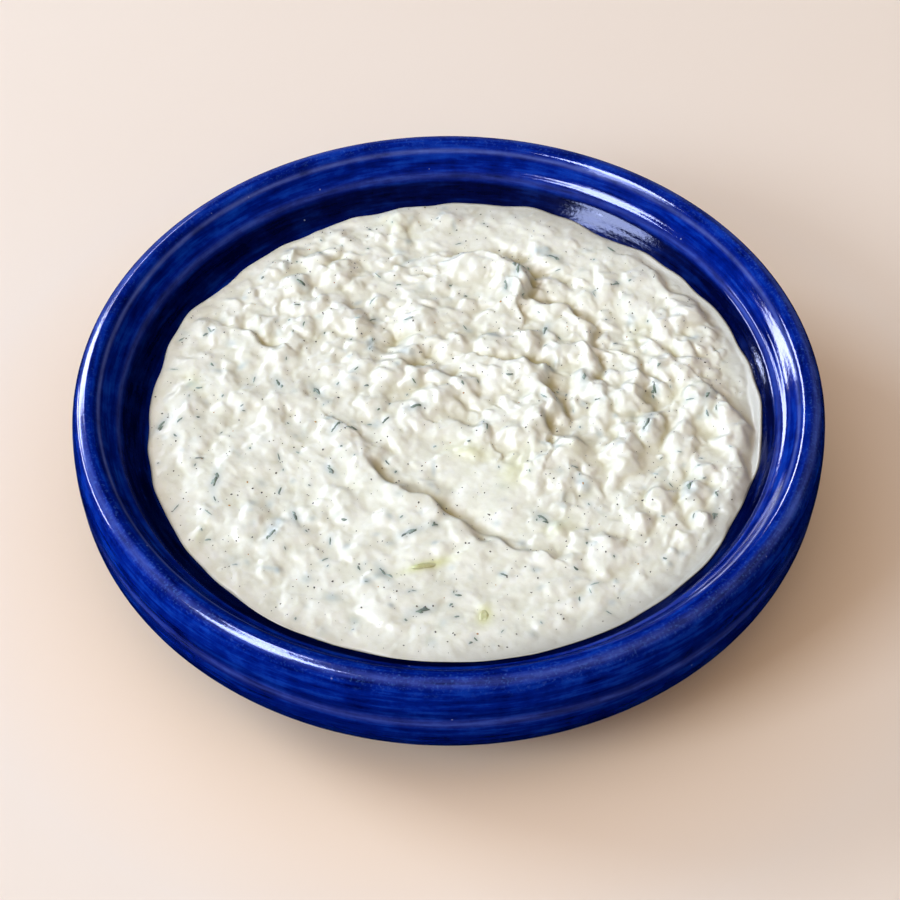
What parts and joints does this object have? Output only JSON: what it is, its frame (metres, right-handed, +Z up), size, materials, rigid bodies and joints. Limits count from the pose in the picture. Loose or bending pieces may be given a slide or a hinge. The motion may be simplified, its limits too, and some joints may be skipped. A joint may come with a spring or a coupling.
{
  "type": "bowl of cucumber yogurt dip",
  "caption": "Shallow thrown bowl with a rolled blue glazed rim, filled with thick white cucumber yogurt dip stirred into folds and lumps with herb flecks.",
  "frame": {"origin": "centre of the bowl's flat foot, on the surface it stands on", "axes": "+Z up along the bowl's axis, +Y away from the viewer of the picture, +X to the viewer's right"},
  "size_m": [0.18, 0.18, 0.042],
  "materials": {
    "bowl": "glossy cobalt-blue glaze on thrown earthenware",
    "dip": "moist thick strained yogurt with herb and pepper flecks"
  },
  "bodies": {
    "root": {"bowl": "bowl", "dip": "dip"}
  },
  "joints": []
}
